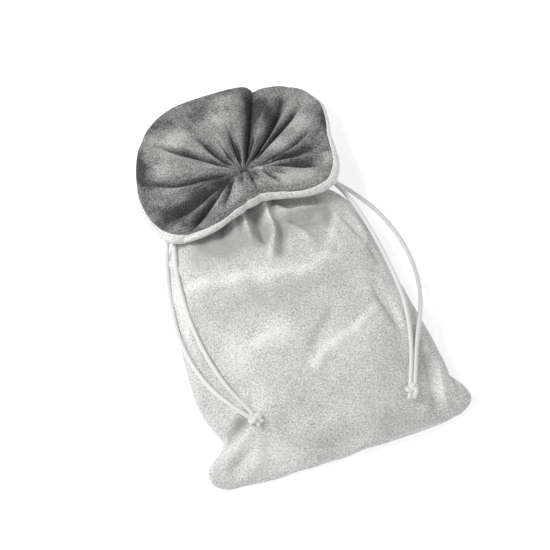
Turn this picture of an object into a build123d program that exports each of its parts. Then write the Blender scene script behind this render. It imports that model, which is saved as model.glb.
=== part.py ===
from build123d import *
import math
import os
from collections import namedtuple

# A lined drawstring pouch of velvet, lying on its back with its cords drawn nearly shut.
# Millimetres. +Z is up, the hem points to -Y and the opened mouth to +Y. The origin is under
# the middle of the fabric, on the surface that the pouch lies on.

# ---- driving dimensions ----
half_length = 113.5  # from the middle to the hem, and to the back of the mouth rim
half_width = 75.0  # half the width of the hem
outer_cloth = 1.2  # thickness of the outer velvet
lining_cloth = 1.0  # thickness of the lining velvet
layer_gap = 0.9  # air between outer and lining
seam_gap = 0.05  # from each panel's edge to the seam plane
thread = 0.5  # diameter of a sewn row
neck_radius = 15.0  # outside of the gathered neck
neck_tilt = 25.0  # the neck leans up from the surface by this angle
neck_start = (49.5, 17.0)  # y and z of the neck axis where the cord channel starts
channel_length = 9.0  # along the neck axis, between the two sewn rows
channel_gap = 3.6  # room between outer and lining for the cords
cord = 2.5  # diameter of the drawstrings
cord_pitch = 3.8  # between the two drawstrings, along the neck axis
strand_pitch = 3.0  # between the two strands of one drawstring
loop_radius = 12.0  # middle line of a drawstring inside the channel
slot_height = 6.2  # side opening of the channel
slot_breadth = 3.4
tack_height = 3.0  # bar of thread beside each side opening
tack_breadth = 0.9
tack_thickness = 0.6
tunnel_inner = 10.8  # where the sliding run of a cord begins, from the neck axis
tunnel_outer = 17.0  # where it ends
body_gap = 0.3  # between pieces that move against each other
knot_radius = 3.2
knot_length = 6.5
cut_end_length = 3.0
arc_share = 0.45  # part of the shorter run that each arc of a cord takes up

# A section of the pouch. y and z are the middle of its seam line, tilt leans its plane, rise and
# drop are its half heights towards the front and the back, and flare is how far the wall leans
# away from the axis at that place, in degrees.
Section = namedtuple("Section", "y z tilt width rise drop flare")


def along_neck(distance):
    """A round section of the neck, at a distance from where the cord channel starts."""
    lean = math.radians(neck_tilt)
    y = neck_start[0] + distance * math.cos(lean)
    z = neck_start[1] + distance * math.sin(lean)
    return Section(y, z, neck_tilt, neck_radius, neck_radius, neck_radius, 0)


body_sections = [
    Section(-half_length, 4.5, 0, half_width, 1.3, 1.3, 0),
    Section(-108.0, 4.8, 0, 74.8, 3.8, 3.2, 0),
    Section(-96.0, 6.3, 0, 72.5, 9.0, 5.6, 0),
    Section(-76.0, 8.6, 0, 69.5, 14.5, 8.7, 0),
    Section(-50.0, 10.6, 0, 65.5, 19.0, 10.9, 0),
    Section(-20.0, 12.0, 0, 62.0, 21.0, 12.3, 0),
    Section(8.0, 12.6, 0, 57.5, 20.5, 12.9, 0),
    Section(28.0, 13.5, 0, 51.0, 17.0, 13.0, -10),
    Section(38.0, 14.6, 6, 38.0, 14.4, 13.2, -40),
    Section(44.0, 15.6, 15, 25.0, 14.2, 13.6, -45),
]
neck_sections = [along_neck(0), along_neck(channel_length)]
head_sections = [
    Section(61.5, 21.6, 37, 24.0, 19.0, 17.0, 40),
    Section(65.0, 21.6, 48, 36.0, 25.4, 25.4, 60),
    Section(68.5, 20.4, 61, 48.0, 35.5, 35.5, 76),
    Section(69.4, 19.5, 71.6, 58.0, 45.85, 45.85, 82),
]
outer_sections = body_sections + neck_sections + head_sections
lining_hem = Section(-107.5, 4.8, 0, 71.0, 1.1, 1.1, 0)


def directions(section):
    """Unit vectors along the axis, and across it towards the front."""
    lean = math.radians(section.tilt)
    return Vector(0, math.cos(lean), math.sin(lean)), Vector(0, -math.sin(lean), math.cos(lean))


def inward(section, depth):
    """The same section, moved into the wall by a depth."""
    flare = math.radians(section.flare)
    shrink = depth * math.cos(flare)
    axis = directions(section)[0]
    shift = depth * math.sin(flare)
    return Section(
        section.y + axis.Y * shift,
        section.z + axis.Z * shift,
        section.tilt,
        section.width - shrink,
        section.rise - shrink,
        section.drop - shrink,
        section.flare,
    )


def between(first, second, share):
    """The section that lies between two others."""
    return Section(*[a + share * (b - a) for a, b in zip(first, second)])


def half_curve(section, front):
    """Half of a section, from the right seam to the left one, as one smooth edge."""
    up = directions(section)[1]
    height = section.rise if front else section.drop
    side = 1 if front else -1
    lies_flat = not front and section.tilt == 0
    power = 0.8 if lies_flat else 1.0  # the back of the body is flatter than an ellipse
    points = []
    for step in range(13):
        angle = math.pi * step / 12
        x = section.width * math.copysign(abs(math.cos(angle)) ** power, math.cos(angle))
        across = side * (seam_gap + (height - seam_gap) * abs(math.sin(angle)) ** power)
        points.append(Vector(x, section.y, section.z) + up * across)
    return Spline(*points)


def panel(sections, cloth, front):
    """One cloth panel: a skin between each section and the same section moved inward."""
    rings = []
    for section in sections:
        outside = half_curve(section, front)
        inside = half_curve(inward(section, cloth), front)
        right_edge = Line(outside @ 0, inside @ 0)
        left_edge = Line(outside @ 1, inside @ 1)
        rings.append([curve.edge() for curve in (outside, inside, right_edge, left_edge)])
    faces = []
    for near, far in zip(rings, rings[1:]):
        faces += [Face.make_surface_from_curves(a, b) for a, b in zip(near, far)]
    for ring in (rings[0], rings[-1]):
        faces.append(Face.make_surface_from_curves(ring[0], ring[1]))
    return Solid(Shell(faces))


def tube(points, radii, diameter):
    """A round tube along straight runs joined by arcs."""
    path = FilletPolyline(*points, radius=radii)
    profile = Plane(path @ 0, z_dir=path % 0) * Circle(diameter / 2)
    return sweep(profile, path=path)


def arc_radii(points):
    """The largest tidy arc at each corner of a route."""
    vectors = [Vector(*point) for point in points]
    radii = []
    for before, corner, after in zip(vectors, vectors[1:], vectors[2:]):
        turn = math.radians((corner - before).get_angle(after - corner))
        shorter = min((corner - before).length, (after - corner).length)
        radii.append(arc_share * shorter / math.tan(turn / 2))
    return radii


def neck_point(along, x):
    """A point by its distance along the neck axis, from the channel's middle, and its x."""
    middle = along_neck(channel_length / 2 + along)
    return Vector(x, middle.y, middle.z)


def cord_level(side):
    """Where a drawstring lies along the neck: the left one lies beyond the right one."""
    return -side * cord_pitch / 2


def neck_plane(along, x, x_dir=(1, 0, 0)):
    """A plane at a point of the neck whose normal is the neck axis."""
    return Plane(neck_point(along, x), x_dir=x_dir, z_dir=directions(along_neck(0))[0])


def write(name, shape):
    export_step(shape, f"parts/{name}.step")


# ---- cloth panels ----
def side_slot(side):
    """The gap in a side seam that one drawstring comes out of."""
    middle = neck_point(cord_level(side), side * neck_radius)
    return Pos(*middle) * Box(4 * outer_cloth, slot_breadth, slot_height)


def lining_sections():
    depth = outer_cloth + layer_gap
    sections = [lining_hem]
    sections += [inward(section, depth) for section in body_sections[2:]]
    sections += [inward(section, outer_cloth + channel_gap) for section in neck_sections]
    sections += [inward(section, depth) for section in head_sections]
    return sections


def make_panels():
    slots = [side_slot(-1), side_slot(1)]
    underside = Pos(0, 0, -half_length) * Box(4 * half_width, 4 * half_length, 2 * half_length)
    for name, front in (("front", True), ("back", False)):
        outer = Part() + panel(outer_sections, outer_cloth, front)
        write(f"outer_{name}_panel", outer - slots - underside)
        write(f"lining_{name}_panel", panel(lining_sections(), lining_cloth, front))


# ---- sewn rows ----
def make_stitching():
    """Every sewn row lies hidden between the outer and the lining."""
    depth = outer_cloth + layer_gap / 2
    for name, side in (("left", -1), ("right", 1)):
        points = []
        for section in body_sections[1:-2]:
            row = inward(section, depth)
            points.append((side * row.width, row.y, row.z))
        write(f"{name}_side_seam_stitching", tube(points, [3.0] * (len(points) - 2), thread))

    hem_row = between(body_sections[0], body_sections[1], 0.7)
    ends = [(-hem_row.width + 6, hem_row.y, hem_row.z), (hem_row.width - 6, hem_row.y, hem_row.z)]
    row = Plane(ends[0], z_dir=(1, 0, 0)) * Circle(thread / 2)
    write("bottom_seam_stitching", extrude(row, ends[1][0] - ends[0][0]))

    rim = inward(between(head_sections[-2], head_sections[-1], 0.97), depth)
    axis, up = directions(rim)
    rim_plane = Plane((0, rim.y, rim.z), x_dir=(1, 0, 0), z_dir=axis)
    rim_path = rim_plane * Ellipse(rim.width, rim.rise)
    start = rim_plane * Pos(rim.width, 0, 0)
    across = Plane(start.position, z_dir=up) * Circle(thread / 2)
    write("mouth_seam_stitching", sweep(across, path=rim_path.wire()))

    row_radius = neck_radius - outer_cloth - thread
    row_height = channel_length / 2 - 0.6 * thread
    for name, along in (("lower", -row_height), ("upper", row_height)):
        ring = neck_plane(along, 0) * Torus(row_radius, thread / 2)
        write(f"channel_{name}_stitching", ring)


def make_bar_tacks():
    """A short bar of thread across the side seam at each end of a cord opening."""
    for name, side in (("left", -1), ("right", 1)):
        tacks = Part()
        for end in (-1, 1):
            middle = neck_point(cord_level(side), side * (neck_radius + outer_cloth))
            place = Pos(*middle) * Pos(0, end * (slot_breadth + tack_breadth) / 2, 0)
            bar = Box(tack_thickness, tack_breadth, tack_height)
            tacks += place * fillet(bar.edges(), tack_thickness / 4)
        write(f"{name}_opening_bar_tacks", tacks)


# ---- drawstrings ----
def make_channel_run(name, side):
    """The drawstring inside the channel: once round the neck, open at its own side."""
    opening = strand_pitch / 2 + cord + body_gap
    half_angle = math.degrees(math.asin(opening / loop_radius))
    place = neck_plane(cord_level(side), 0, (side, 0, 0))
    arc = place * CenterArc((0, 0), loop_radius, half_angle, 360 - 2 * half_angle)
    profile = Plane(arc @ 0, z_dir=arc % 0) * Circle(cord / 2)
    write(f"{name}_cord_channel_run", sweep(profile, path=arc))


def make_tunnel_run(name, side):
    """The two short straight runs that slide in the side opening, one above the other."""
    runs = Part()
    for rise in (-strand_pitch / 2, strand_pitch / 2):
        start = neck_point(cord_level(side), side * tunnel_inner) + Vector(0, 0, rise)
        runs += extrude(Plane(start, z_dir=(side, 0, 0)) * Circle(cord / 2), tunnel_outer - tunnel_inner)
    write(f"{name}_cord_tunnel_run", runs)


# Each strand's route, from just outside its opening to its knot, chosen to lie on the cloth and on
# the surface beside it. The last point is on the knot's flat end.
left_outer_route = [
    (-18.6, 55.3, 18.2), (-28.0, 55.0, 17.4), (-38.5, 50.3, 16.2), (-47.5, 41.5, 15.6),
    (-54.0, 28.5, 16.2), (-59.4, 11.0, 17.4), (-62.6, -8.0, 18.4), (-64.4, -27.0, 19.6),
    (-62.2, -46.0, 21.0), (-56.6, -62.5, 22.6), (-48.8, -75.0, 23.2), (-42.8, -82.6, 22.8),
]
left_inner_route = [
    (-18.6, 55.3, 21.2), (-27.5, 54.2, 21.2), (-37.0, 48.2, 20.8), (-44.6, 38.5, 21.2),
    (-50.0, 25.5, 22.6), (-54.2, 9.0, 23.6), (-56.0, -8.5, 24.4), (-56.0, -26.0, 25.0),
    (-54.0, -43.5, 25.2), (-50.2, -59.5, 25.0), (-45.0, -72.5, 24.2), (-40.5, -80.8, 22.9),
]
right_outer_route = [
    (18.6, 51.9, 16.6), (28.0, 51.4, 15.4), (38.5, 46.0, 13.6), (48.8, 37.0, 11.4),
    (58.2, 27.6, 8.6), (66.6, 17.0, 5.4), (73.0, 4.6, 2.6), (76.4, -8.4, 1.7),
    (76.6, -21.4, 2.4), (74.0, -33.6, 6.0), (69.8, -44.4, 12.4), (64.4, -54.4, 19.4),
    (59.0, -64.6, 22.2), (54.4, -75.0, 22.6), (49.9, -85.4, 21.2),
]
right_inner_route = [
    (18.6, 51.9, 19.6), (27.6, 50.8, 20.2), (37.4, 44.6, 21.6), (45.4, 33.5, 23.4),
    (50.4, 18.5, 25.0), (53.4, 2.5, 25.6), (55.8, -14.0, 25.2), (57.4, -30.5, 25.0),
    (57.4, -46.5, 25.2), (55.0, -62.0, 24.9), (50.8, -75.5, 23.4), (47.2, -84.6, 21.4),
]
routes = {
    "left": {"outer": left_outer_route, "inner": left_inner_route},
    "right": {"outer": right_outer_route, "inner": right_inner_route},
}


def make_knot(name):
    """An overhand knot as a barrel with a flat end that the two strands run into."""
    ends = [Vector(*route[-1]) for route in routes[name].values()]
    before = [Vector(*route[-2]) for route in routes[name].values()]
    top = (ends[0] + ends[1]) * 0.5
    down = (top - (before[0] + before[1]) * 0.5).normalized()
    barrel = Plane(top, z_dir=down) * Pos(0, 0, knot_length / 2) * Cylinder(knot_radius, knot_length)
    write(f"{name}_cord_knot", fillet(barrel.edges(), knot_radius * 0.28))

    tails = Part()
    bottom = Plane(top + down * knot_length, x_dir=ends[1] - ends[0], z_dir=down)
    for side in (-1, 1):
        tails += extrude(bottom * Pos(side * cord * 0.55, 0, 0) * Circle(cord / 2), cut_end_length)
    write(f"{name}_cord_cut_ends", tails)


def make_drawstrings():
    for name, side in (("left", -1), ("right", 1)):
        make_channel_run(name, side)
        make_tunnel_run(name, side)
        make_knot(name)
        for strand, route in routes[name].items():
            radii = arc_radii(route)
            solid = tube(route, radii, cord)
            length = FilletPolyline(*route, radius=radii).length
            share = solid.volume / (math.pi * cord**2 / 4 * length)
            print(f"{name} {strand} strand: {length:.1f} mm, volume over section x length {share:.4f}")
            print("  radii", [round(radius, 1) for radius in radii])
            write(f"{name}_cord_{strand}_strand", solid)


os.makedirs("parts", exist_ok=True)
make_panels()
make_stitching()
make_bar_tacks()
make_drawstrings()
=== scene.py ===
import math
import bpy
import numpy as np
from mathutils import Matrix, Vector


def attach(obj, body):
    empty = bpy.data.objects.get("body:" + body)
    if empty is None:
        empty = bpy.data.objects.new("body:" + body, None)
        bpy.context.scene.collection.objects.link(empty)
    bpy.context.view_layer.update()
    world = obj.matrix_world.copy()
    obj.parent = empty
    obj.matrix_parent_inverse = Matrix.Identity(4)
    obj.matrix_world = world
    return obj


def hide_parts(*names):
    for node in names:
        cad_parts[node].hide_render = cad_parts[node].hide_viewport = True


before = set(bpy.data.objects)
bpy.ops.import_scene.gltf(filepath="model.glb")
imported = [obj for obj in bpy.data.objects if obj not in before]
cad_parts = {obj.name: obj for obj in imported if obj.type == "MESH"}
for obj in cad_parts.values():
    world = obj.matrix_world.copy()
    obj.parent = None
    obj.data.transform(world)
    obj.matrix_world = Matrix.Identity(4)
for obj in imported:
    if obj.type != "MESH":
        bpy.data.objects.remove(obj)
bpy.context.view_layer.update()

MM = 0.001  # the cloth is worked out in millimetres, and the cords in metres
COLUMNS = 480  # points round the pouch, from its right seam over the front
TOP_ROW = 60  # a row of the body whose front faces up
SEED = 7


# ---------------------------------------------------------------- small helpers
def periodic(angles, values, samples, smooth=4.0):
    """A closed smooth curve through a few values round the circle, in degrees."""
    order = np.argsort(angles)
    # Half-degree steps, smoothed over at most 30 degrees each way.
    fine = np.arange(720) / 2.0
    raw = np.interp(fine, np.array(angles)[order], np.array(values)[order], period=360)
    if smooth > 0:
        offsets = np.arange(-60, 61) / 2.0
        kernel = np.exp(-((offsets / smooth) ** 2) / 2)
        kernel /= kernel.sum()
        padded = np.concatenate([raw[-60:], raw, raw[:60]])
        raw = np.convolve(padded, kernel, mode="valid")
    return np.interp(np.degrees(samples) % 360, fine, raw, period=360)


def spline_rows(rings, rows):
    """Rows of points on a natural cubic through rings of points."""
    rings = np.array(rings)
    knots = row_lengths(rings)
    count = len(knots)
    matrix = np.zeros((count, count))
    right = np.zeros(rings.shape)
    matrix[0, 0] = matrix[-1, -1] = 1
    for k in range(1, count - 1):
        before, after = knots[k] - knots[k - 1], knots[k + 1] - knots[k]
        matrix[k, k - 1 : k + 2] = before, 2 * (before + after), after
        right[k] = 6 * ((rings[k + 1] - rings[k]) / after - (rings[k] - rings[k - 1]) / before)
    bends = np.linalg.solve(matrix, right.reshape(count, -1)).reshape(rings.shape)
    at = np.linspace(0, knots[-1], rows)
    low = np.clip(np.searchsorted(knots, at, side="right") - 1, 0, count - 2)
    width = (knots[low + 1] - knots[low])[:, None, None]
    a = (knots[low + 1] - at)[:, None, None] / width
    b = 1 - a
    curve = a * rings[low] + b * rings[low + 1]
    curve += ((a**3 - a) * bends[low] + (b**3 - b) * bends[low + 1]) * width**2 / 6
    return curve


def bump(x, middle, width):
    """A smooth bell of height one."""
    return np.exp(-(((x - middle) / width) ** 2))


def ramp(x, low, high):
    """A smooth step from zero at low to one at high."""
    s = np.clip((x - low) / (high - low), 0, 1)
    return s * s * (3 - 2 * s)


def turn_between(a, b):
    """The signed angle from b to a, in radians, between minus and plus half a turn."""
    return (a - b + math.pi) % (2 * math.pi) - math.pi


def grid_normals(grid):
    """Unit normals of a grid that is closed round its columns."""
    along = np.gradient(grid, axis=0)
    wrapped = np.concatenate([grid[:, -1:], grid, grid[:, :1]], axis=1)
    across = (wrapped[:, 2:] - wrapped[:, :-2]) / 2
    normals = np.cross(across, along)
    return normals / np.maximum(np.linalg.norm(normals, axis=2, keepdims=True), 1e-9)


def body_normals(grid):
    """Unit normals of a grid that starts at the hem, turned to point out of the bag."""
    normals = grid_normals(grid)
    return normals * np.sign(normals[TOP_ROW, COLUMNS // 4, 2])


def row_lengths(grid):
    """The mean distance along the grid from its first row to each row."""
    steps = np.linalg.norm(np.diff(grid, axis=0), axis=2).mean(axis=1)
    return np.concatenate([[0], np.cumsum(steps)])


def blend(values, at, closed):
    """Rows between the rows of an array, blended smoothly from the four nearest ones."""
    base = np.floor(at).astype(int)
    t = (at - base).reshape((-1,) + (1,) * (values.ndim - 1))
    weights = (
        (1 - t) ** 3 / 6,
        (3 * t**3 - 6 * t**2 + 4) / 6,
        (-3 * t**3 + 3 * t**2 + 3 * t + 1) / 6,
        t**3 / 6,
    )
    total = 0
    for step, weight in zip((-1, 0, 1, 2), weights):
        row = base + step
        row = row % len(values) if closed else np.clip(row, 0, len(values) - 1)
        total = total + weight * values[row]
    return total


def smooth_noise(rng, shape, cells_down, cells_round):
    """Soft random hills on a grid, closed round the columns, between about -1 and 1."""
    rows, columns = shape
    coarse = rng.uniform(-1, 1, (cells_down + 4, cells_round))
    down = np.linspace(1.5, cells_down + 1.5, rows)
    across = np.arange(columns) * cells_round / columns
    flattened = blend(blend(coarse, down, False).T, across, True).T
    return flattened * 1.8


def smoothed(values, rounds):
    """Each point takes the mean of itself and its four neighbours, again and again."""
    for _ in range(rounds):
        padded = np.concatenate([values[:1], values, values[-1:]])
        sides = np.roll(values, 1, axis=1), np.roll(values, -1, axis=1)
        values = (values + padded[:-2] + padded[2:] + sides[0] + sides[1]) / 5
    return values


def mesh_data(name, grid, outward):
    """Quads on a grid that is closed round its columns, facing out of the bag or into it."""
    rows, columns = grid.shape[:2]
    faces = []
    for r in range(rows - 1):
        for c in range(columns):
            d = (c + 1) % columns
            face = (r * columns + c, r * columns + d, (r + 1) * columns + d, (r + 1) * columns + c)
            faces.append(face[::-1] if outward else face)
    mesh = bpy.data.meshes.new(name)
    mesh.from_pydata((grid.reshape(-1, 3) * MM).tolist(), [], faces)
    return mesh


def link(name, data):
    """A new object in the scene that shows the given data."""
    piece = bpy.data.objects.new(name, data)
    bpy.context.scene.collection.objects.link(piece)
    return piece


def square(name, half):
    """A level square at the height of the table, in metres."""
    corners = [(-half, -half, 0), (half, -half, 0), (half, half, 0), (-half, half, 0)]
    mesh = bpy.data.meshes.new(name)
    mesh.from_pydata(corners, [], [(0, 1, 2, 3)])
    return link(name, mesh)


def mesh_from_grid(name, grid, material, tone_and_painted_light, outward):
    """A smooth sheet of cloth that carries its pile's tone, with painted highlights and painted shade, as
    a point attribute.
    """
    mesh = mesh_data(name, grid, outward)
    mesh.polygons.foreach_set("use_smooth", [True] * len(mesh.polygons))
    # The pile's own tone with painted highlights and painted shade.
    tone_and_painted_light_layer = mesh.attributes.new("tone_and_painted_light", "FLOAT", "POINT")
    tone_and_painted_light_layer.data.foreach_set("value", tone_and_painted_light.reshape(-1).astype(np.float32))
    mesh.update()
    mesh.materials.append(material)
    return link(name, mesh)


# ---------------------------------------------------------------- materials
def new_material(name, roughness, sheen, sheen_roughness):
    """A material with little shine, and its shader."""
    material = bpy.data.materials.new(name)
    material.use_nodes = True
    shader = material.node_tree.nodes["Principled BSDF"]
    shader.inputs["Roughness"].default_value = roughness
    shader.inputs["Sheen Weight"].default_value = sheen
    shader.inputs["Sheen Roughness"].default_value = sheen_roughness
    shader.inputs["Specular IOR Level"].default_value = 0.25
    return material, shader


def add_node(material, kind, **settings):
    """A shader node with its inputs, or else its own settings, given by name."""
    node = material.node_tree.nodes.new(kind)
    for key, value in settings.items():
        if key in node.inputs:
            node.inputs[key].default_value = value
        else:
            setattr(node, key, value)
    return node


def velvet(name, dark, light, grain_scale, grain_gain):
    """Cut pile. The mesh's attribute holds the pile's own tone with painted highlights and painted shade,
    and the grain is its tufts.
    """
    material, shader = new_material(name, 0.85, 0.25, 0.35)
    join = material.node_tree.links.new
    # The pile's own tone with painted highlights and painted shade, read from the mesh.
    tone_and_painted_light = add_node(material, "ShaderNodeAttribute", attribute_name="tone_and_painted_light")
    place = add_node(material, "ShaderNodeTexCoord")
    grain = add_node(material, "ShaderNodeTexNoise", Scale=grain_scale, Detail=3.0, Roughness=0.75)
    join(place.outputs["Object"], grain.inputs["Vector"])
    # The noise keeps to the middle of its range, so that part is spread over the whole gain.
    tufts = add_node(material, "ShaderNodeMapRange", **{
        "From Min": 0.36, "From Max": 0.64, "To Min": -grain_gain, "To Max": grain_gain,
    })
    join(grain.outputs["Fac"], tufts.inputs["Value"])
    # The tufts show more where the pile is bright.
    lively = add_node(material, "ShaderNodeMath", operation="ADD")
    join(tone_and_painted_light.outputs["Fac"], lively.inputs[0])
    lively.inputs[1].default_value = 0.35
    scaled = add_node(material, "ShaderNodeMath", operation="MULTIPLY_ADD")
    join(tufts.outputs["Result"], scaled.inputs[0])
    join(lively.outputs["Value"], scaled.inputs[1])
    join(tone_and_painted_light.outputs["Fac"], scaled.inputs[2])
    # From the dark end for painted shade to the light end for painted highlights and sheen.
    colour = add_node(material, "ShaderNodeMix", data_type="RGBA")
    colour.inputs["A"].default_value = (*dark, 1)
    colour.inputs["B"].default_value = (*light, 1)
    colour.clamp_factor = True
    join(scaled.outputs["Value"], colour.inputs["Factor"])
    join(colour.outputs["Result"], shader.inputs["Base Color"])
    pile = add_node(material, "ShaderNodeTexNoise", Scale=grain_scale * 1.6, Detail=2.0)
    join(place.outputs["Object"], pile.inputs["Vector"])
    relief = add_node(material, "ShaderNodeBump", Strength=0.4, Distance=0.0005)
    join(pile.outputs["Fac"], relief.inputs["Height"])
    join(relief.outputs["Normal"], shader.inputs["Normal"])
    return material


def satin(name, colour):
    """Smooth braided cord with a soft shine."""
    material, shader = new_material(name, 0.38, 0.25, 0.4)
    join = material.node_tree.links.new
    shader.inputs["Specular IOR Level"].default_value = 0.5
    place = add_node(material, "ShaderNodeTexCoord")
    weave = add_node(material, "ShaderNodeTexNoise", Scale=1400.0, Detail=2.0)
    join(place.outputs["Object"], weave.inputs["Vector"])
    shade = add_node(material, "ShaderNodeMix", data_type="RGBA")
    shade.inputs["A"].default_value = (*[c * 0.9 for c in colour], 1)
    shade.inputs["B"].default_value = (*colour, 1)
    join(weave.outputs["Fac"], shade.inputs["Factor"])
    join(shade.outputs["Result"], shader.inputs["Base Color"])
    relief = add_node(material, "ShaderNodeBump", Strength=0.25, Distance=0.0002)
    join(weave.outputs["Fac"], relief.inputs["Height"])
    join(relief.outputs["Normal"], shader.inputs["Normal"])
    return material


# The dark end of each velvet stands for painted shade, the light end for painted highlights and sheen.
OUTER_VELVET = velvet("outer_velvet", (0.41, 0.415, 0.405), (0.90, 0.905, 0.89), 1300.0, 0.62)
LINING_VELVET = velvet("lining_velvet", (0.050, 0.050, 0.049), (0.56, 0.56, 0.55), 1200.0, 0.42)
SATIN_CORD = satin("satin_cord", (0.82, 0.82, 0.81))
THREAD = satin("sewing_thread", (0.78, 0.78, 0.77))


# ---------------------------------------------------------------- the body's form
# One row each from the hem to the neck: left seam (x, y, z), right seam (x, y, z), and in the
# middle y, the height of the top and the height of the underside.
BODY = [
    ((-61.0, -112.8, 4.0), (68.0, -111.0, 4.0), (-114.4, 4.1, 4.0)),
    ((-64.5, -111.6, 4.1), (71.2, -109.8, 4.1), (-113.4, 6.4, 2.3)),
    ((-67.4, -109.6, 4.3), (73.8, -107.8, 4.4), (-111.4, 8.4, 1.5)),
    ((-70.4, -105.6, 4.8), (76.2, -104.4, 5.0), (-107.6, 11.6, 0.8)),
    ((-70.8, -100.4, 5.6), (76.2, -100.4, 5.6), (-103.0, 14.8, 0.5)),
    ((-66.8, -95.4, 6.4), (74.2, -95.6, 6.2), (-97.0, 17.8, 0.35)),
    ((-61.4, -90.8, 7.2), (71.4, -90.0, 6.8), (-91.0, 20.6, 0.25)),
    ((-60.6, -85.0, 7.8), (69.4, -82.0, 7.4), (-83.0, 23.8, 0.2)),
    ((-63.4, -75.5, 8.2), (67.4, -72.0, 8.0), (-72.5, 27.2, 0.2)),
    ((-65.6, -63.0, 8.8), (65.6, -60.0, 8.8), (-59.5, 30.4, 0.2)),
    ((-65.6, -46.0, 9.8), (62.8, -43.5, 9.8), (-43.0, 32.8, 0.2)),
    ((-64.6, -27.0, 10.8), (60.2, -27.0, 10.8), (-26.0, 34.2, 0.2)),
    ((-62.6, -8.0, 11.6), (57.4, -9.0, 11.6), (-9.0, 34.6, 0.2)),
    ((-59.4, 8.0, 12.2), (54.8, 8.0, 12.2), (6.0, 32.4, 0.3)),
    ((-54.2, 22.0, 13.0), (50.8, 21.0, 13.0), (19.0, 29.6, 0.6)),
    ((-44.5, 33.0, 14.0), (42.0, 32.0, 14.0), (29.0, 27.8, 1.6)),
    ((-30.0, 40.5, 15.2), (29.5, 39.8, 15.2), (36.5, 27.2, 3.0)),
    ((-19.0, 44.4, 16.2), (19.0, 44.0, 16.2), (42.0, 27.4, 4.4)),
]
# Round sections of the outer's neck and of the lining's throat: y and z of the middle, lean in
# degrees, radius.
NECK = [(46.5, 17.4, 16.0, 13.6), (50.2, 18.8, 30.0, 11.8), (52.8, 21.0, 52.0, 11.6)]
THROAT = [(44.0, 16.6, 12.0, 7.0), (49.5, 18.4, 32.0, 4.6)]
HUB = (-1.5, 51.0)  # where the lining closes up, seen from above
NECK_X = HUB[0] * 0.4  # the middle of the neck's round sections

# Gathers that run down from the neck: turn round the neck (90 is the front), depth, half width
# in millimetres, and how far they reach down the body.
GATHERS = [
    (18, 2.4, 2.6, 26), (33, 3.0, 2.8, 30), (47, 2.4, 2.4, 34), (58, 3.6, 2.8, 26), (68, 3.0, 2.4, 38),
    (77, 4.2, 2.4, 30), (85, 3.0, 2.2, 24), (94, 4.8, 2.6, 44), (103, 3.4, 2.2, 28), (112, 3.8, 2.6, 40),
    (123, 3.0, 2.4, 26), (134, 3.2, 2.8, 34), (148, 2.6, 2.6, 30), (163, 2.4, 2.6, 24),
    (196, 2.4, 2.6, 26), (212, 3.0, 2.8, 34), (228, 2.4, 2.6, 26), (243, 3.2, 2.8, 38),
    (257, 2.6, 2.4, 26), (270, 3.4, 2.6, 34), (284, 2.6, 2.4, 28), (298, 3.2, 2.8, 40),
    (313, 2.4, 2.6, 26), (329, 3.0, 2.8, 32), (345, 2.4, 2.6, 24),
]
# Soft folds in the top of the body: from (x, y) to (x, y), height (below zero sinks), half width.
CREASES = [
    ((-54, -2), (-13, -11), 1.2, 3.0), ((-13, -11), (8, -16), 1.2, 3.0), ((8, -16), (24, -13), 1.2, 2.8),
    ((24, -13), (32, -2), 1.1, 2.8), ((32, -2), (39, 12), 1.0, 2.8), ((-30, 2), (16, -4), -0.9, 5.0),
    ((2.8, 36), (2.6, 10), 3.8, 2.2), ((2.6, 12), (-4, -4), 3.0, 2.2), ((-3.6, 32), (-4.2, 6), -3.4, 2.4),
    ((-10, 36), (-10.6, 10), 3.2, 2.0), ((9, 18), (2, -5), -3.0, 2.4), ((8, 29), (15, 21), 2.8, 2.0),
    ((14, 22), (33, 19), 2.6, 2.0), ((12, 16), (28, 13), -2.8, 2.4), ((11, 16), (21, -1), 1.6, 2.4),
    ((-18, 34), (-16, 16), 1.6, 2.4), ((-24, 32), (-26, 18), -1.4, 2.6),
    ((-28, -48), (-4, -45), 1.2, 3.6), ((-2, -69), (10, -61), 1.5, 2.8), ((10, -61), (24, -58), 1.6, 2.8),
    ((24, -58), (42, -46), 1.5, 2.8), ((-3, -62), (20, -40), -1.2, 3.0),
    ((-34, -54), (-6, -60), -0.7, 5.0), ((43.5, -34), (50, -62), -1.5, 2.0),
    ((48, -28), (54, -58), 0.9, 2.4), ((42, 14), (49, -5), -1.4, 1.8), ((46, 15), (53, -8), 0.9, 2.0),
    ((50, -9), (53, -22), -1.5, 1.8), ((58, -60), (63, -96), 1.0, 3.0), ((64, -80), (61, -106), 1.5, 2.8),
    ((58, -78), (55, -106), -1.7, 2.8), ((51, -84), (49, -108), 0.9, 3.0),
    ((70, -88), (70, -104), -0.9, 2.4), ((-56, -91), (-42, -82), -2.6, 3.4),
    ((-62, -98), (-44, -88), 1.6, 3.2), ((-60, -104), (-42, -97), -1.5, 2.8),
    ((-58, -110), (-40, -104), 1.0, 2.6), ((-50, -80), (-38, -70), 1.2, 3.4),
    ((-60, -20), (-58, -60), 0.9, 3.0), ((-54, 6), (-54, -44), -0.8, 2.8),
    ((-57, 22), (-50, 2), 0.9, 2.4), ((-44, 26), (-34, 6), 1.0, 3.2), ((34, 24), (30, 4), 1.0, 3.2),
    ((-20, -92), (20, -98), 0.8, 7.0), ((-30, -22), (20, -26), -0.5, 7.0),
]
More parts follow.
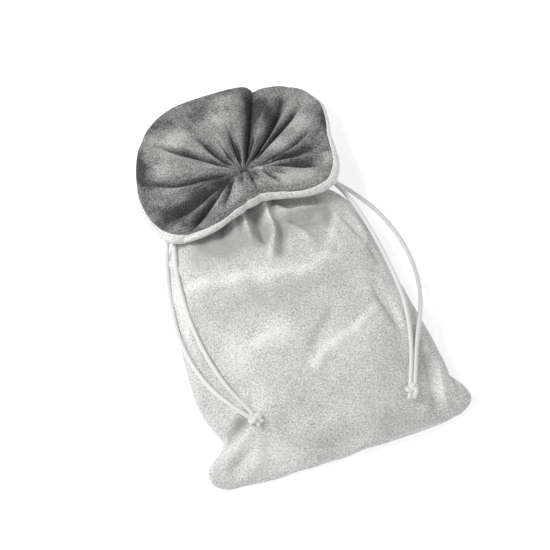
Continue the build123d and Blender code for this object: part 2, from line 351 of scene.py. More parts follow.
# Patches of painted sheen (above zero) and painted shade (below zero) on the outer, the shade also under
# the mouth's lifted front: x, y, size along x and along y, strength.
OUTER_PAINTED_SHEEN_AND_SHADE = [
    (-46, -4, 11, 2.8, 0.6), (-26, -8.5, 11, 2.2, 0.5), (-4, -13.5, 10, 2, 0.5), (12, -16, 8, 2, 0.55),
    (25, -12, 5, 3, 0.6), (33, -2, 3, 6, 0.6), (39, 10, 3.4, 9, 0.6), (-17, -47, 11, 4, 0.6),
    (-12, -40, 8, 5, 0.3), (1, -67, 4, 3, 0.6), (10, -61, 5, 2.8, 0.7), (22, -58, 7, 3, 0.85),
    (33, -54, 5, 3, 0.7), (40, -48, 3.4, 3.4, 0.5), (-38, -50, 8, 12, 0.35), (-44, -100, 9, 8, 0.4),
    (-30, -106, 8, 5, 0.45), (-35, -76, 6, 7, 0.4), (58, -96, 7, 9, 0.3), (52, -48, 2.5, 26, 0.35),
    (-59, 0, 3, 24, 0.4), (-10, 12, 22, 9, -0.45), (-28, 17, 14, 8, -0.75), (26, 16, 15, 8, -0.6),
    (-24, -24, 22, 7, -0.15), (16, -26, 20, 6, -0.15), (2, -78, 30, 8, -0.12), (60, -84, 3, 8, -0.4),
    (-50, -84, 8, 3, -0.3), (20, -104, 40, 5, -0.12),
]

# Round the mouth, seen from above: angle from +X towards the back, distance from the hub, height.
RIM = [
    (4, 52.0, 21.0), (13.4, 54.0, 19.0), (23.5, 60.5, 15.5), (31.6, 66.0, 12.5), (44.5, 68.6, 9.0),
    (53.6, 67.0, 7.5), (63.0, 63.6, 5.8), (66.5, 62.6, 5.0), (72, 63.6, 7.5), (79, 62.6, 6.6),
    (89, 61.8, 6.3), (98.6, 62.4, 6.2), (113, 65.0, 6.4), (121, 65.3, 7.0), (129, 64.6, 8.0),
    (140, 62.6, 10.4), (151, 60.0, 13.5), (163, 58.2, 17.0), (176, 58.0, 20.0), (188, 58.2, 22.0),
    (198, 57.6, 24.5), (205.8, 56.0, 27.0), (213, 51.4, 29.5), (222, 42.6, 31.5), (235.5, 29.0, 34.0),
    (252, 21.5, 35.5), (277, 18.4, 36.0), (296, 21.6, 35.5), (309, 27.6, 34.5), (325, 41.2, 31.5),
    (335.4, 48.0, 28.5), (348.6, 50.6, 24.5),
]
# The folds that run out from the hub: angle, depth, half width, reach to the rim, drift in degrees.
GROOVES = [
    (6, 6.0, 2.8, 0.92, 4), (24, 4.2, 1.4, 0.92, -5), (38.8, 4.8, 1.3, 0.98, 2),
    (51.5, 5.8, 1.5, 0.99, -3), (59, 2.4, 1.2, 0.75, 3), (68, 6.4, 1.7, 1.12, 0), (79, 3.2, 1.3, 0.66, 4),
    (89, 3.6, 1.3, 0.74, -2), (100, 3.0, 1.3, 0.62, 3), (111, 4.4, 1.5, 0.76, 5),
    (123, 3.2, 1.4, 0.6, -3), (136, 6.4, 1.3, 1.0, -4), (149, 2.6, 1.4, 0.5, 3), (163, 5.8, 1.3, 0.97, 7),
    (180, 2.4, 1.6, 0.6, 0), (194, 7.5, 3.2, 0.98, 4), (203, 3.0, 1.8, 0.9, -3), (213, 6.5, 1.7, 1.05, 0),
    (231, 3.4, 1.4, 0.9, -4), (251, 2.6, 1.1, 0.8, 0), (272, 3.0, 1.2, 0.9, 3), (292, 2.6, 1.2, 0.8, -3),
    (311, 3.2, 1.5, 0.9, 3), (331, 3.0, 1.7, 0.8, -3), (347, 4.6, 2.2, 0.95, 3),
]
# Patches of painted highlight (above zero) and painted shade (below zero) on the lining, with the same
# columns.
LINING_PAINTED_HIGHLIGHT_AND_SHADE = [
    (-36, 88, 10, 8, 0.6), (-28, 92, 8, 5, 0.25), (-44, 71, 10, 7, 0.32), (3, 107, 7, 4, 0.4),
    (-2, 96, 8, 5, 0.35), (-12, 104, 5, 5, -0.25), (19, 100, 4, 9, -0.35), (25, 92, 4, 10, -0.35),
    (24, 64, 8, 6, 0.5), (14, 56, 5, 4, 0.45), (8, 51.5, 3, 2.5, 0.55), (40, 77, 7, 7, 0.45),
    (44, 92, 8, 7, 0.3), (34, 84, 5, 8, 0.2), (53, 72, 3, 10, -0.4), (46, 47, 6, 4, 0.5),
    (27, 48, 9, 3, -0.35), (-23, 51, 12, 5, -0.35), (-46, 38, 9, 6, -0.4), (-44, 56, 12, 4, 0.1),
    (-55, 78, 5, 18, -0.5), (-44, 104, 12, 5, -0.25), (6, 66, 9, 10, -0.1), (-20, 74, 8, 8, 0.1),
    (-34, 62, 8, 4, -0.15), (22, 37, 16, 6, 0.75), (-20, 34, 12, 6, 0.25), (-1.5, 52, 4, 3, -0.5),
    (10, 112, 14, 4, -0.1),
]
# How far the outer laps over the mouth's edge onto the lining's side, by direction in degrees.
LAP = (
    [0, 25, 45, 60, 90, 140, 170, 190, 205, 225, 270, 315, 340],
    [4.6, 3.6, 2.2, -0.5, -1.6, -1.4, 1.0, 5.0, 7.8, 9.2, 9.4, 9.2, 7.4],
)
# How much the mouth is lifted like its front, by direction in degrees: 270 is the front.
FRONTNESS = ([0, 60, 120, 180, 225, 270, 315], [0.35, 0, 0, 0.35, 0.85, 1.0, 0.85])
LINING_HUB_RADIUS = 3.0  # of the throat where the lining closes up
OUTER_HUB_RADIUS = 11.2  # of the neck where the outer turns out into the mouth
HEAD_ROWS = 84  # rows of each layer from the hub to the mouth's edge
RIM_RADIUS = 2.3  # of the soft rolled edge of the mouth at the back
FRONT_SWELL = 1.3  # how much thicker that edge is at the front
EDGE_ROWS = 16  # rows of each layer that are laid anew round the edge
LAP_ROWS = 30  # rows that they are laid as, up to the seam
PAINTED_LIP_HIGHLIGHT_ROWS = 24  # the last rows of the outer, on which a painted highlight runs along the mouth's edge
LAYER_DEPTH = (3.6, 0.0, 3.0)  # from the outer's face to the lining, along x, y and z
HEM_DEPTH = (9.0, 0.0, 3.5)  # how much deeper the lining lies near the hem
BODY_ROWS = 241  # rows of the outer from the hem to the neck
LINING_FIRST_ROW, LINING_LAST_ROW = 18, -44  # the lining follows these of the outer's rows
LINING_STEP = 4
OUTER_LEVEL = 0.49  # how bright the outer's pile is where no painted sheen or shade is added
LINING_LEVEL = 0.34
FLOOR_GAP = 0.25  # the least height of the body's cloth over the table
LIP_GAP = 0.4  # the least height of the mouth's cloth over the table
DRAPE_STEP = 4  # the blown-up cloth has every fourth row and column
DRAPE_FRAMES = 20
FARTHEST_MOVE = 3.0  # the most that a wrinkle moves the cloth


def body_ring(row, angles):
    """A section of the body: full on top, flat where it lies, with rounded corners at the hem."""
    left, right, (y, high, low) = np.array(row[0]), np.array(row[1]), row[2]
    top = np.sin(angles) >= 0
    sine, cosine = np.abs(np.sin(angles)), np.cos(angles)
    # Powers under one make the section fuller than an oval.
    across = np.where(top, cosine, np.sign(cosine) * np.abs(cosine) ** 0.8)
    share = (across + 1) / 2
    x = left[0] + (right[0] - left[0]) * share
    seam = left[2] + (right[2] - left[2]) * share
    end_y = left[1] + (right[1] - left[1]) * share
    place_y = y + (end_y - y) * np.abs(across) ** 4
    lift = np.where(top, (high - seam) * sine**0.86, (low - seam) * sine**0.7)
    return np.stack([x, place_y, seam + lift], axis=1)


def round_ring(section, angles):
    """A round section that leans up from the surface."""
    y, z, lean, radius = section
    lean = math.radians(lean)  # nought stands upright across the pouch
    across = radius * np.sin(angles)
    return np.stack([
        NECK_X + radius * np.cos(angles),
        y - math.sin(lean) * across,
        z + math.cos(lean) * across,
    ], axis=1)


def bezier(points, s):
    """The place at share s of a curve led by four points."""
    a, b, c, d = points
    return (1 - s) ** 3 * a + 3 * (1 - s) ** 2 * s * b + 3 * (1 - s) * s**2 * c + s**3 * d


def rim_distance(plan):
    """How far the mouth's edge is from the hub in each direction."""
    turns, distances, _ = zip(*RIM)
    return periodic(turns, distances, plan, 2.0)


def rim_height(plan):
    """How high the mouth's edge is in each direction."""
    turns, _, heights = zip(*RIM)
    return periodic(turns, heights, plan, 5.0)


def head_rings(shares, angles, lining):
    """Rings of the opened mouth, from the hub at share 0 to the rim at share 1."""
    plan = -angles
    rim = rim_distance(plan)
    height = rim_height(plan)
    front = periodic(*FRONTNESS, plan, 14)
    if lining:
        start = LINING_HUB_RADIUS
        heights = [19.5, 23.0 + 16 * front, 9.5 + 33 * front, height]
    else:
        start = OUTER_HUB_RADIUS
        heights = [11.5 + 18 * front, 10.0 + 26 * front, 5.6 + 34 * front, height]
    heights[2] = heights[2] + 0.3 * (height - 6)
    rings = []
    for share in shares:
        distance = bezier([start, start + 0.5, 0.45 * rim, rim], share)
        rings.append(np.stack([
            HUB[0] + distance * np.cos(plan),
            HUB[1] + distance * np.sin(plan),
            bezier(heights, share),
        ], axis=1))
    return np.array(rings)


def head_relief(shares, angles):
    """How far the lobes of the mouth stand up and its folds sink, in millimetres."""
    plan = (-angles)[None, :]
    share = np.array(shares)[:, None]
    distance = LINING_HUB_RADIUS + (rim_distance(-angles)[None, :] - LINING_HUB_RADIUS) * share
    sunk = np.zeros((len(shares), len(angles)))
    nearest = np.full(sunk.shape, 40.0)
    for angle, depth, width, reach, drift in GROOVES:
        line = math.radians(angle) + math.radians(drift) * np.sin(share * 3.0)
        away = np.abs(turn_between(plan, line)) * distance
        inner = 0.08 + 0.92 * ramp(share, 0.08, 0.46)
        window = inner * (1 - ramp(share, reach - 0.22, reach + 0.08))
        spread = width * (0.6 + 0.8 * share)
        sunk = np.maximum(sunk, depth * window * np.exp(-((away / spread) ** 1.15)))
        nearest = np.minimum(nearest, away + 14 * (1 - window))
    # The lobes puff up away from the folds, and fine pleats run a short way out from the hub.
    puffs = 2.4 * (1 - np.exp(-((nearest / 5.5) ** 2))) * np.sin(math.pi * np.clip(share, 0, 1) ** 0.8)
    fine = np.cos(31 * plan + 1.6 * np.sin(3 * plan) + 5 * share) * (1 - ramp(share, 0.1, 0.5)) * 0.9
    return puffs - sunk + fine * ramp(share, 0.0, 0.08)


def head_layers(shares, angles, relief):
    """The outer's and the lining's grids of the mouth, from the hub to the edge."""
    middle = head_rings(shares, angles, True)
    normals = grid_normals(middle)
    normals *= np.sign(normals[-1:, :, 2:3])
    # The layers part towards the soft edge, and keep clear of each other in the folds by the hub.
    edge = RIM_RADIUS + FRONT_SWELL * np.clip(np.sin(angles), 0, 1)[None, :, None]
    thick = 0.5 + (edge - 0.5) * ramp(shares, 0.1, 1.0)[:, None, None]
    clear = 1.5 * (1 - ramp(shares, 0.45, 0.8)[:, None, None])
    lining = middle + normals * (relief[:, :, None] + thick + clear)
    # The outer comes up from the neck, and from the middle of the mouth on it follows the lining.
    under = head_rings(shares, angles, False)
    under += normals * np.minimum(relief, 0)[:, :, None] * ramp(shares, 0.05, 0.3)[:, None, None]
    beside = middle + normals * (relief[:, :, None] * 0.85 - thick - 0.6 * clear)
    reach = ramp(shares, 0.12, 0.5)[:, None, None]
    outer = (1 - reach) * under + reach * beside
    return outer, lining


def roll_edge(outer, lining, angles):
    """Both layers laid round the mouth's rolled edge, up to the seam where they meet."""
    # Half an oval from the outer's last row over to the lining's.
    rim = (outer[-1] + lining[-1]) / 2
    lift = (lining[-1] - outer[-1]) / 2
    outward = rim - (outer[-4] + lining[-4]) / 2
    along_lift = (outward * lift).sum(axis=1, keepdims=True)
    outward -= lift * along_lift / (lift * lift).sum(axis=1, keepdims=True)
    outward *= np.linalg.norm(lift, axis=1, keepdims=True) / np.linalg.norm(outward, axis=1, keepdims=True)
    at = np.linspace(-math.pi / 2, math.pi / 2, 17)[1:-1, None, None]
    roll = rim + outward * np.cos(at) + lift * np.sin(at)
    # The way over the edge, from the outer's side to the lining's, and where on it the seam lies.
    over = np.concatenate([outer[-EDGE_ROWS:], roll, lining[: -EDGE_ROWS - 1 : -1]])
    steps = np.linalg.norm(np.diff(over, axis=0), axis=2)
    reached = np.concatenate([np.zeros((1, len(angles))), np.cumsum(steps, axis=0)])
    crown = reached[EDGE_ROWS + len(roll) // 2]
    seam = crown + periodic(*LAP, -angles, 10)

    def walk(first, last):
        """Rows along the way over the edge, from one distance to another in each column."""
        rows = np.empty((LAP_ROWS, len(angles), 3))
        for column in range(len(angles)):
            stops = np.linspace(first[column], last[column], LAP_ROWS)
            for axis in range(3):
                rows[:, column, axis] = np.interp(stops, reached[:, column], over[:, column, axis])
        rows[-1] += (rim - rows[-1]) * 0.16
        rows[-2] += (rim - rows[-2]) * 0.07
        return rows

    outer = np.concatenate([outer[:-EDGE_ROWS], walk(np.zeros(len(angles)), seam)])
    lining = np.concatenate([lining[:-EDGE_ROWS], walk(reached[-1], seam)])
    for cloth in (outer, lining, rim):
        cloth[..., 2] = np.maximum(cloth[..., 2], LIP_GAP)
    return outer, lining, rim


def near_segment(points, start, end):
    """Distance from a segment seen from above, and a window that fades towards its ends."""
    start, end = np.array(start, float), np.array(end, float)
    run = end - start
    length = np.linalg.norm(run)
    run /= length
    offset = points[..., :2] - start
    along = offset @ run
    away = np.abs(offset[..., 0] * run[1] - offset[..., 1] * run[0])
    window = ramp(along, -0.15 * length, 0.25 * length) * (1 - ramp(along, 0.75 * length, 1.15 * length))
    return away, window


def patches(points, table):
    """Soft spots of the given strengths, added up over the points."""
    total = np.zeros(points.shape[:-1])
    for x, y, wide, long, strength in table:
        inside = ((points[..., 0] - x) / wide) ** 2 + ((points[..., 1] - y) / long) ** 2
        total += strength * np.exp(-inside)
    return total


def build_body(angles, last_ring):
    """The smooth form of the outer from the hem to the ring where the mouth begins."""
    rings = [body_ring(row, angles) for row in BODY]
    rings += [round_ring(section, angles) for section in NECK]
    rings.append(last_ring)
    return spline_rows(rings, BODY_ROWS)


def fold_body(grid, angles, rng):
    """Gathers, creases and soft unevenness, pushed along the body's own normals."""
    normals = body_normals(grid)
    from_hem = row_lengths(grid)
    from_neck = (from_hem[-1] - from_hem)[:, None]
    radius = (np.linalg.norm(grid - grid.mean(axis=1, keepdims=True), axis=2)).mean(axis=1)[:, None]
    shift = np.zeros(grid.shape[:2])
    # Gathers grow wider and shallower away from the neck, and wander a little.
    for turn, depth, width, reach in GATHERS:
        line = math.radians(turn) + 0.10 * np.sin(from_neck / 14.0 + turn)
        away = np.abs(turn_between(angles[None, :], line)) * radius
        window = np.exp(-((np.maximum(from_neck - 10, 0) / reach) ** 1.6)) * ramp(from_neck, -2, 10)
        shift -= depth * window * np.exp(-((away / (width * (0.5 + from_neck / 42))) ** 1.3))
    shift += 1.1 * np.exp(-((from_neck / 30.0) ** 2)) * ramp(from_neck, 0, 8)
    for start, end, height, width in CREASES:
        away, window = near_segment(grid, start, end)
        shift += height * window * np.exp(-((away / width) ** 2)) * (normals[..., 2] > 0.05)
    # The unevenness fades towards the neck and the hem, and where the cloth lies on the table.
    open_cloth = ramp(from_neck, 6, 30) * ramp(np.arange(len(grid)), 2, 14)[:, None]
    lying = 0.35 + 0.65 * ramp(normals[..., 2], -0.6, 0.1)
    uneven = 0.9 * smooth_noise(rng, shift.shape, 9, 18) + 0.35 * smooth_noise(rng, shift.shape, 26, 52)
    shift += uneven * open_cloth * lying
    folded = grid + normals * shift[..., None]
    # Part of the hem is lifted off the table.
    hem_lift = 4.4 * bump(folded[..., 0], 30, 24) * (1 - ramp(folded[..., 1], -114, -96))
    folded[..., 2] += hem_lift
    folded[..., 2] = np.maximum(folded[..., 2], FLOOR_GAP)
    return folded, shift


def spread_out(coarse, rows, columns, every):
    """A coarse grid of moves, smoothed up to the full grid, closed round the columns."""
    down = blend(coarse, np.arange(rows) / every, False)
    return blend(down.swapaxes(0, 1), np.arange(columns) / every, True).swapaxes(0, 1)


def make_form(coarse):
    """The bag as a coarse mesh of cloth, held fast along its hem and at its neck."""
    rows, columns = coarse.shape[:2]
    bag = link("bag_form", mesh_data("bag_form", coarse, True))
    held = bag.vertex_groups.new(name="held")
    hold = ramp(np.arange(rows), rows - 12, rows - 5)
    hold[0] = 1.0
    for row in np.flatnonzero(hold):
        held.add(list(range(row * columns, (row + 1) * columns)), float(hold[row]), "REPLACE")
    # Soft velvet, three per cent too big for its form, blown up a little and without weight.
    cloth = bag.modifiers.new("cloth", "CLOTH")
    cloth.settings.quality = 8
    cloth.settings.mass = 0.25
    cloth.settings.tension_stiffness = 12
    cloth.settings.compression_stiffness = 8
    cloth.settings.shear_stiffness = 4
    cloth.settings.bending_stiffness = 0.5
    cloth.settings.shrink_min = -0.03
    cloth.settings.use_pressure = True
    cloth.settings.uniform_pressure_force = 2.0
    cloth.settings.effector_weights.gravity = 0.0
    cloth.settings.vertex_group_mass = "held"
    cloth.collision_settings.distance_min = 0.0006
    cloth.collision_settings.collision_quality = 3
    cloth.point_cache.frame_end = DRAPE_FRAMES
    return bag


def make_ground():
    """The table under the cloth while it is blown up."""
    ground = square("ground", 0.3)
    ground.modifiers.new("collision", "COLLISION")
    ground.collision.thickness_outer = 0.0005
    return ground


def drape(grid):
    """Blow up the bag as cloth a little too big for its form, and give back the wrinkles it gets."""
    coarse = grid[::DRAPE_STEP, ::DRAPE_STEP]
    bag = make_form(coarse)
    ground = make_ground()
    for frame_number in range(1, DRAPE_FRAMES + 1):
        bpy.context.scene.frame_set(frame_number)
    shaped = bag.evaluated_get(bpy.context.evaluated_depsgraph_get()).to_mesh()
    places = np.empty(coarse.size)
    shaped.vertices.foreach_get("co", places)
    moves = places.reshape(coarse.shape) / MM - coarse
    bpy.context.scene.frame_set(1)
    bpy.data.objects.remove(bag)
    bpy.data.objects.remove(ground)
    # Only the wrinkles are kept: the wide swelling is taken off, and the farthest moves are held back.
    moves -= smoothed(moves, 60)
    size = np.linalg.norm(moves, axis=2, keepdims=True)
    moves *= np.tanh(size / FARTHEST_MOVE) * FARTHEST_MOVE / np.maximum(size, 1e-6)
    return spread_out(moves, len(grid), grid.shape[1], DRAPE_STEP)


def mirrored(ring):
    """The same ring with its front and back points exchanged."""
    return ring[-np.arange(len(ring))]


def line_body(outer, angles, last_ring):
    """The lining lies close inside the outer and closes up to a narrow throat at the neck."""
    outer = outer[LINING_FIRST_ROW:LINING_LAST_ROW:LINING_STEP]
    centre = (outer.max(axis=1, keepdims=True) + outer.min(axis=1, keepdims=True)) / 2
    half = (outer.max(axis=1, keepdims=True) - outer.min(axis=1, keepdims=True)) / 2
    # It doesn't reach into the outer's wrinkles and corners.
    plain = np.abs(smoothed(outer, 40) - centre)
    plain[..., 1] = np.abs(outer - centre)[..., 1]
    close = np.sign(outer - centre) * np.minimum(np.abs(outer - centre), plain)
    at_hem = 1 - ramp(np.arange(len(outer)), 0, 12)[:, None, None]
    depth = np.array(LAYER_DEPTH) + np.array(HEM_DEPTH) * at_hem
    inside = centre + close * np.maximum(1 - depth / half, 0.15)
    hem = (inside[0] + mirrored(inside[0])) / 2
    hem[:, 1] -= 3.0
    throat = [round_ring(section, angles) for section in THROAT]
    upper = spline_rows([inside[-2], inside[-1], *throat, last_ring], 24)
    return np.concatenate([[hem], inside[:-2], upper[:-1]])


def outer_tone_and_painted_light(grid, body_shift, rng):
    """Painted highlights on the folds' crests and the mouth's edge, painted sheen patches and painted
    shade in the valleys, over the pile's own tone.
    """
    tone_and_painted_light = np.full(grid.shape[:2], OUTER_LEVEL)
    in_body = np.arange(len(tone_and_painted_light)) < BODY_ROWS
    # Painted sheen and painted shade patches, on the body only.
    tone_and_painted_light += patches(grid, OUTER_PAINTED_SHEEN_AND_SHADE) * in_body[:, None]
    # Painted highlight on the crests of the body's folds and painted shade in their valleys.
    tone_and_painted_light[:BODY_ROWS] += 0.10 * body_shift
    # A painted highlight along the mouth's rolled edge.
    tone_and_painted_light[-PAINTED_LIP_HIGHLIGHT_ROWS:] += 0.35
    # The pile's own tone, uneven at random.
    tone_and_painted_light += (
        0.09 * smooth_noise(rng, tone_and_painted_light.shape, 22, 40)
        + 0.05 * smooth_noise(rng, tone_and_painted_light.shape, 60, 110)
    )
    return np.clip(tone_and_painted_light, 0.0, 1.0)


def lining_tone_and_painted_light(grid, relief, first_row, rng):
    """Painted highlights on the lobes and in patches, painted shade deep in the folds of the mouth, over
    the pile's own tone.
    """
    tone_and_painted_light = np.full(grid.shape[:2], LINING_LEVEL)
    head = slice(first_row, first_row + len(relief))
    # Painted highlight on the lobes and painted shade in the folds, from their relief.
    tone_and_painted_light[head] += np.clip(0.095 * (relief - 0.7), -0.46, 0.16)
    tone_and_painted_light += patches(grid, LINING_PAINTED_HIGHLIGHT_AND_SHADE)
    # Deeper painted shade in the grooves.
    tone_and_painted_light[head] *= 1 - 0.75 * np.clip(-relief / 3.5, 0, 1)
    # The pile's own tone, uneven at random.
    tone_and_painted_light += (
        0.07 * smooth_noise(rng, tone_and_painted_light.shape, 20, 60)
        + 0.10 * smooth_noise(rng, tone_and_painted_light.shape, 34, 200)
    )
    return np.clip(tone_and_painted_light, 0.0, 1.0)


def finish_sheet(piece, part):
    """Hang a sheet on the pouch and hide the panels it stands for."""
    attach(piece, "pouch")
    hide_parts(f"{part}_front_panel", f"{part}_back_panel")


def make_cloth():
    """Both layers of the pouch. Gives back the outer's grid and the line round the mouth's edge."""
    rng = np.random.default_rng(SEED)
    angles = np.arange(COLUMNS) * 2 * math.pi / COLUMNS
    shares = np.linspace(0, 1, HEAD_ROWS) ** 0.9
    relief = head_relief(shares, angles)
    outer_head, lining_head, rim = roll_edge(*head_layers(shares, angles, relief), angles)

    body, body_shift = fold_body(build_body(angles, outer_head[0]), angles, rng)
    body += drape(body) * ramp(np.arange(BODY_ROWS)[::-1], 3, 24)[:, None, None]
    body[..., 2] = np.maximum(body[..., 2], FLOOR_GAP)
    body[-1] = outer_head[0]
    body[0] = (body[0] + mirrored(body[0])) / 2
    outer_grid = np.concatenate([body[:-1], outer_head])
    lining_body = line_body(body, angles, lining_head[0])
    lining_grid = np.concatenate([lining_body, lining_head])

    # Each layer's pile tone with painted highlights, sheen and shade.
    tone_and_painted_light = outer_tone_and_painted_light(outer_grid, body_shift, rng)
    finish_sheet(mesh_from_grid("outer_cloth", outer_grid, OUTER_VELVET, tone_and_painted_light, True), "outer")
    tone_and_painted_light = lining_tone_and_painted_light(lining_grid, relief, len(lining_body), rng)
    finish_sheet(mesh_from_grid("lining_cloth", lining_grid, LINING_VELVET, tone_and_painted_light, False), "lining")
    return outer_grid, rim


# ---------------------------------------------------------------- drawstrings
# Each strand's route from its side opening to its knot, in metres.
ROUTES = {
    "left_outer": [
        (-0.0186, 0.0553, 0.0182), (-0.0280, 0.0550, 0.0174), (-0.0385, 0.0503, 0.0162),
        (-0.0475, 0.0415, 0.0156), (-0.0540, 0.0285, 0.0162), (-0.0594, 0.0110, 0.0174),
        (-0.0626, -0.0080, 0.0184), (-0.0644, -0.0270, 0.0196), (-0.0622, -0.0460, 0.0210),
        (-0.0566, -0.0625, 0.0226), (-0.0488, -0.0750, 0.0232), (-0.0428, -0.0826, 0.0232),
    ],
    "left_inner": [
        (-0.0186, 0.0553, 0.0212), (-0.0274, 0.0545, 0.0190), (-0.0368, 0.0485, 0.0176),
        (-0.0446, 0.0393, 0.0178), (-0.0504, 0.0268, 0.0204), (-0.0544, 0.0096, 0.0234),
        (-0.0560, -0.0085, 0.0244), (-0.0560, -0.0260, 0.0250), (-0.0540, -0.0435, 0.0252),
        (-0.0502, -0.0595, 0.0250), (-0.0450, -0.0725, 0.0242), (-0.0405, -0.0808, 0.0233),
    ],
    "right_outer": [
        (0.0186, 0.0519, 0.0166), (0.0280, 0.0514, 0.0154), (0.0385, 0.0460, 0.0136),
        (0.0482, 0.0370, 0.0114), (0.0570, 0.0276, 0.0086), (0.0648, 0.0170, 0.0054),
        (0.0704, 0.0046, 0.0026), (0.0734, -0.0084, 0.0017), (0.0738, -0.0214, 0.0024),
        (0.0718, -0.0336, 0.0060), (0.0684, -0.0444, 0.0124), (0.0642, -0.0540, 0.0192),
        (0.0592, -0.0636, 0.0224), (0.0546, -0.0734, 0.0230), (0.0508, -0.0832, 0.0218),
        (0.0473, -0.0922, 0.0211),
    ],
    "right_inner": [
        (0.0186, 0.0519, 0.0196), (0.0277, 0.0512, 0.0182), (0.0377, 0.0464, 0.0162),
        (0.0462, 0.0360, 0.0162), (0.0514, 0.0213, 0.0178), (0.0543, 0.0048, 0.0202),
        (0.0563, -0.0126, 0.0226), (0.0574, -0.0305, 0.0246), (0.0574, -0.0465, 0.0252),
        (0.0552, -0.0610, 0.0249), (0.0520, -0.0730, 0.0238), (0.0484, -0.0830, 0.0224),
        (0.0449, -0.0915, 0.0213),
    ],
}
CORD_DIAMETER = 0.0025
THREAD_RADIUS = 0.00022
STITCH_DEPTH = 1.0  # from the outer's face to the sewn rows, in millimetres
HEM_SEAM_ROW = 4  # the outer's row that the bottom seam follows
CHANNEL_ROW = BODY_ROWS - 16  # the outer's row that the upper of the channel's seams follows
KNOT_SIZE = 0.00088  # the unit of the knot's winding; it is about six of them wide
CHANNEL_RADIUS = 0.0073  # of the drawstring's way round the neck
CHANNEL_APART = 0.0038  # between the two drawstrings there
CHANNEL_MIDDLE = (0.0472, 0.0164)  # y and z half way between them
CHANNEL_LEAN = 28.0  # of the neck there, in degrees
CHANNEL_END = 0.0108  # how far to the side a run goes, to just inside its opening
STRAND_PITCH = 0.0030  # between the two strands in an opening


def round_cord(name, runs, radius, closed=False):
    """A round cord on smooth splines, one for each run of points in metres."""
    curve = bpy.data.curves.new(name, "CURVE")
    curve.dimensions = "3D"
    curve.resolution_u = 12
    curve.bevel_depth = radius
    curve.bevel_resolution = 5
    curve.use_fill_caps = True
    for points in runs:
        line = curve.splines.new("NURBS")
        line.points.add(len(points) - 1)
        for point, place in zip(line.points, points):
            point.co = (*place, 1.0)
        line.order_u = 3
        line.use_endpoint_u = not closed
        line.use_cyclic_u = closed
    return link(name, curve)


def finish_cord(piece, body, material, slot, *nodes):
    """Give a cord its material and body, and hide the nodes it stands for."""
    piece.data.materials.append(material)
    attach(piece, body)
    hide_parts(*nodes)


def make_knot(side):
    """An overhand knot tied in both strands at once, with their two cut ends."""
    outer, inner = ROUTES[f"{side}_outer"], ROUTES[f"{side}_inner"]
    ends = [Vector(outer[-1]), Vector(inner[-1])]
    top = (ends[0] + ends[1]) / 2
    down = (top - (Vector(outer[-2]) + Vector(inner[-2])) / 2).normalized()
    along = Vector((0, 0, 1)).cross(down).normalized()
    up = down.cross(along)
    middle = top + down * 0.0030
    runs = []
    # Each strand winds round once as an open trefoil beside its twin, and its cut end comes out below.
    for end, offset in zip(ends, (-0.5, 0.5)):
        wide = KNOT_SIZE * (1 + 0.25 * offset)
        points = [end - down * 0.0006, end + down * 0.0008]
        for step in range(25):
            t = math.radians(36 + 288 * step / 24)
            x = math.sin(t) + 2 * math.sin(2 * t)
            y = math.cos(t) - 2 * math.cos(2 * t)
            z = -math.sin(3 * t) * 1.3 + offset * 1.1
            points.append(middle + along * (y * wide) + down * (x * wide) + up * (z * KNOT_SIZE))
        tail = middle + down * 0.0028 + along * (offset * 0.0022)
        points += [tail, tail + down * 0.0010 + along * (offset * 0.0008), tail + down * 0.0018]
        runs.append(points)
    knot = round_cord(f"{side}_overhand_knot", runs, CORD_DIAMETER * 0.47)
    nodes = f"{side}_cord_knot", f"{side}_cord_cut_ends"
    finish_cord(knot, f"{side}_loop", SATIN_CORD, "satin_cord", *nodes)
    return knot


def make_channel_cord(side, sign, along):
    """The drawstring's way round the gathered neck, between the outer and the lining.

    The sign says to which side it comes out, and along is its place along the leaning neck.
    """
    lean = math.radians(CHANNEL_LEAN)
    y, z = CHANNEL_MIDDLE
    middle = Vector((NECK_X * MM, y + along * math.cos(lean), z + along * math.sin(lean)))
    aside = Vector((sign, 0, 0))
    across = Vector((0, -math.sin(lean), math.cos(lean)))
    points = [middle + Vector((sign * CHANNEL_END, 0, -STRAND_PITCH / 2))]
    for step in range(21):
        turn = math.radians(-24 - 312 * step / 20)
        points.append(middle + (aside * math.cos(turn) + across * math.sin(turn)) * CHANNEL_RADIUS)
    points.append(middle + Vector((sign * CHANNEL_END, 0, STRAND_PITCH / 2)))
    piece = round_cord(f"{side}_channel_cord", [points], CORD_DIAMETER / 2)
    finish_cord(piece, "pouch", SATIN_CORD, "satin_cord", f"{side}_cord_channel_run")


def make_strand(side, strand):
    """One strand of a loop, from its side opening to the knot."""
    name = f"{side}_{strand}"
    piece = round_cord(f"{name}_strand", [ROUTES[name]], CORD_DIAMETER / 2)
    finish_cord(piece, f"{side}_loop", SATIN_CORD, "satin_cord", f"{side}_cord_{strand}_strand")


def make_threads(grid, rim):
    """Sewn rows that follow the cloth, a little under its surface."""
    inside = grid - body_normals(grid) * STITCH_DEPTH
    half = COLUMNS // 2
    over_front = np.linspace(10, half - 10, 60).astype(int)
    over_back = np.linspace(COLUMNS - 10, half + 10, 60).astype(int)
    hem = (inside[HEM_SEAM_ROW, over_front] + inside[HEM_SEAM_ROW, over_back]) / 2
    side = slice(HEM_SEAM_ROW + 2, CHANNEL_ROW - 10, 5)
    rows = {
        "right_side_seam": (inside[side, 0], False, "right_side_seam_stitching"),
        "left_side_seam": (inside[side, half], False, "left_side_seam_stitching"),
        "bottom_seam": (hem, False, "bottom_seam_stitching"),
        "mouth_seam": (rim[::4], True, "mouth_seam_stitching"),
        "channel_lower_row": (inside[CHANNEL_ROW - 6, ::3], True, "channel_lower_stitching"),
        "channel_upper_row": (inside[CHANNEL_ROW, ::3], True, "channel_upper_stitching"),
    }
    for name, (points, closed, node) in rows.items():
        piece = round_cord(name, [(points * MM).tolist()], THREAD_RADIUS, closed)
        finish_cord(piece, "pouch", THREAD, "sewing_thread", node)


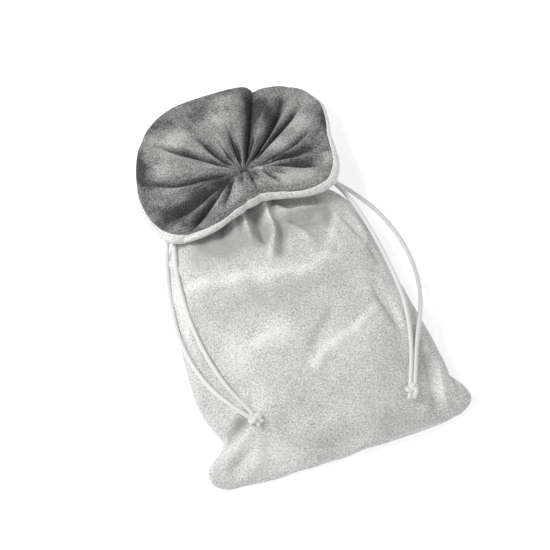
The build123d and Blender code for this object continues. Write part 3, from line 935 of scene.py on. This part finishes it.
def colour_kept_parts(side):
    """The CAD parts that no piece stands for get the cord's and the thread's looks."""
    for node, material in ((f"{side}_cord_tunnel_run", SATIN_CORD), (f"{side}_opening_bar_tacks", THREAD)):
        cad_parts[node].material_slots[0].material = material


def make_drawstring(side, sign, along):
    """One drawstring: its knot, its way round the neck and the two strands of its loop."""
    knot = make_knot(side)
    make_channel_cord(side, sign, along)
    for strand in ("outer", "inner"):
        make_strand(side, strand)
    colour_kept_parts(side)


# ---------------------------------------------------------------- floor, light and camera
def make_stage():
    """White paper that glows a little, as the photo's ground is burnt out."""
    floor = square("floor", 3.0)
    material, shader = new_material("white_paper", 0.9, 0.0, 0.5)
    shader.inputs["Base Color"].default_value = (0.93, 0.93, 0.93, 1)
    shader.inputs["Emission Color"].default_value = (1, 1, 1, 1)
    shader.inputs["Emission Strength"].default_value = 0.42
    floor.data.materials.append(material)


def make_light(name, place, size, watts):
    """A square lamp that shines at the middle of the pouch."""
    data = bpy.data.lights.new(name, "AREA")
    data.energy = watts
    data.size = size
    lamp = link(name, data)
    lamp.location = place
    lamp.rotation_euler = (-Vector(place)).to_track_quat("-Z", "Y").to_euler()


def make_camera():
    """A long lens that looks down steeply from the hem's side, a little from the left."""
    turn, rise, distance = math.radians(-18.3), math.radians(67.0), 1.14
    back = Vector((math.sin(turn) * math.cos(rise), -math.cos(turn) * math.cos(rise), math.sin(rise)))
    right = Vector((math.cos(turn), math.sin(turn), 0))
    up = back.cross(right)
    # It aims beside the middle of the pouch, which is how the photo frames it.
    target = Vector((0, -0.0025, 0.0095)) - right * 0.0015 - up * 0.0022
    data = bpy.data.cameras.new("camera")
    data.lens = 135.5
    data.sensor_width = 36
    camera = link("camera", data)
    camera.location = target + back * distance
    camera.rotation_euler = (-back).to_track_quat("-Z", "Y").to_euler()
    bpy.context.scene.camera = camera


def make_world():
    """Even white light from all round."""
    world = bpy.data.worlds.new("studio")
    world.use_nodes = True
    background = world.node_tree.nodes["Background"]
    background.inputs["Color"].default_value = (1, 1, 1, 1)
    background.inputs["Strength"].default_value = 0.47
    bpy.context.scene.world = world
    bpy.context.scene.view_settings.view_transform = "Standard"


outer_grid, rim_line = make_cloth()
make_drawstring("left", -1, CHANNEL_APART / 2)
make_drawstring("right", 1, -CHANNEL_APART / 2)
make_threads(outer_grid, rim_line)
make_stage()
make_world()
make_light("key", (-0.75, 0.35, 1.05), 0.5, 11)
make_light("fill", (0.8, -0.9, 1.2), 1.0, 2)
make_camera()
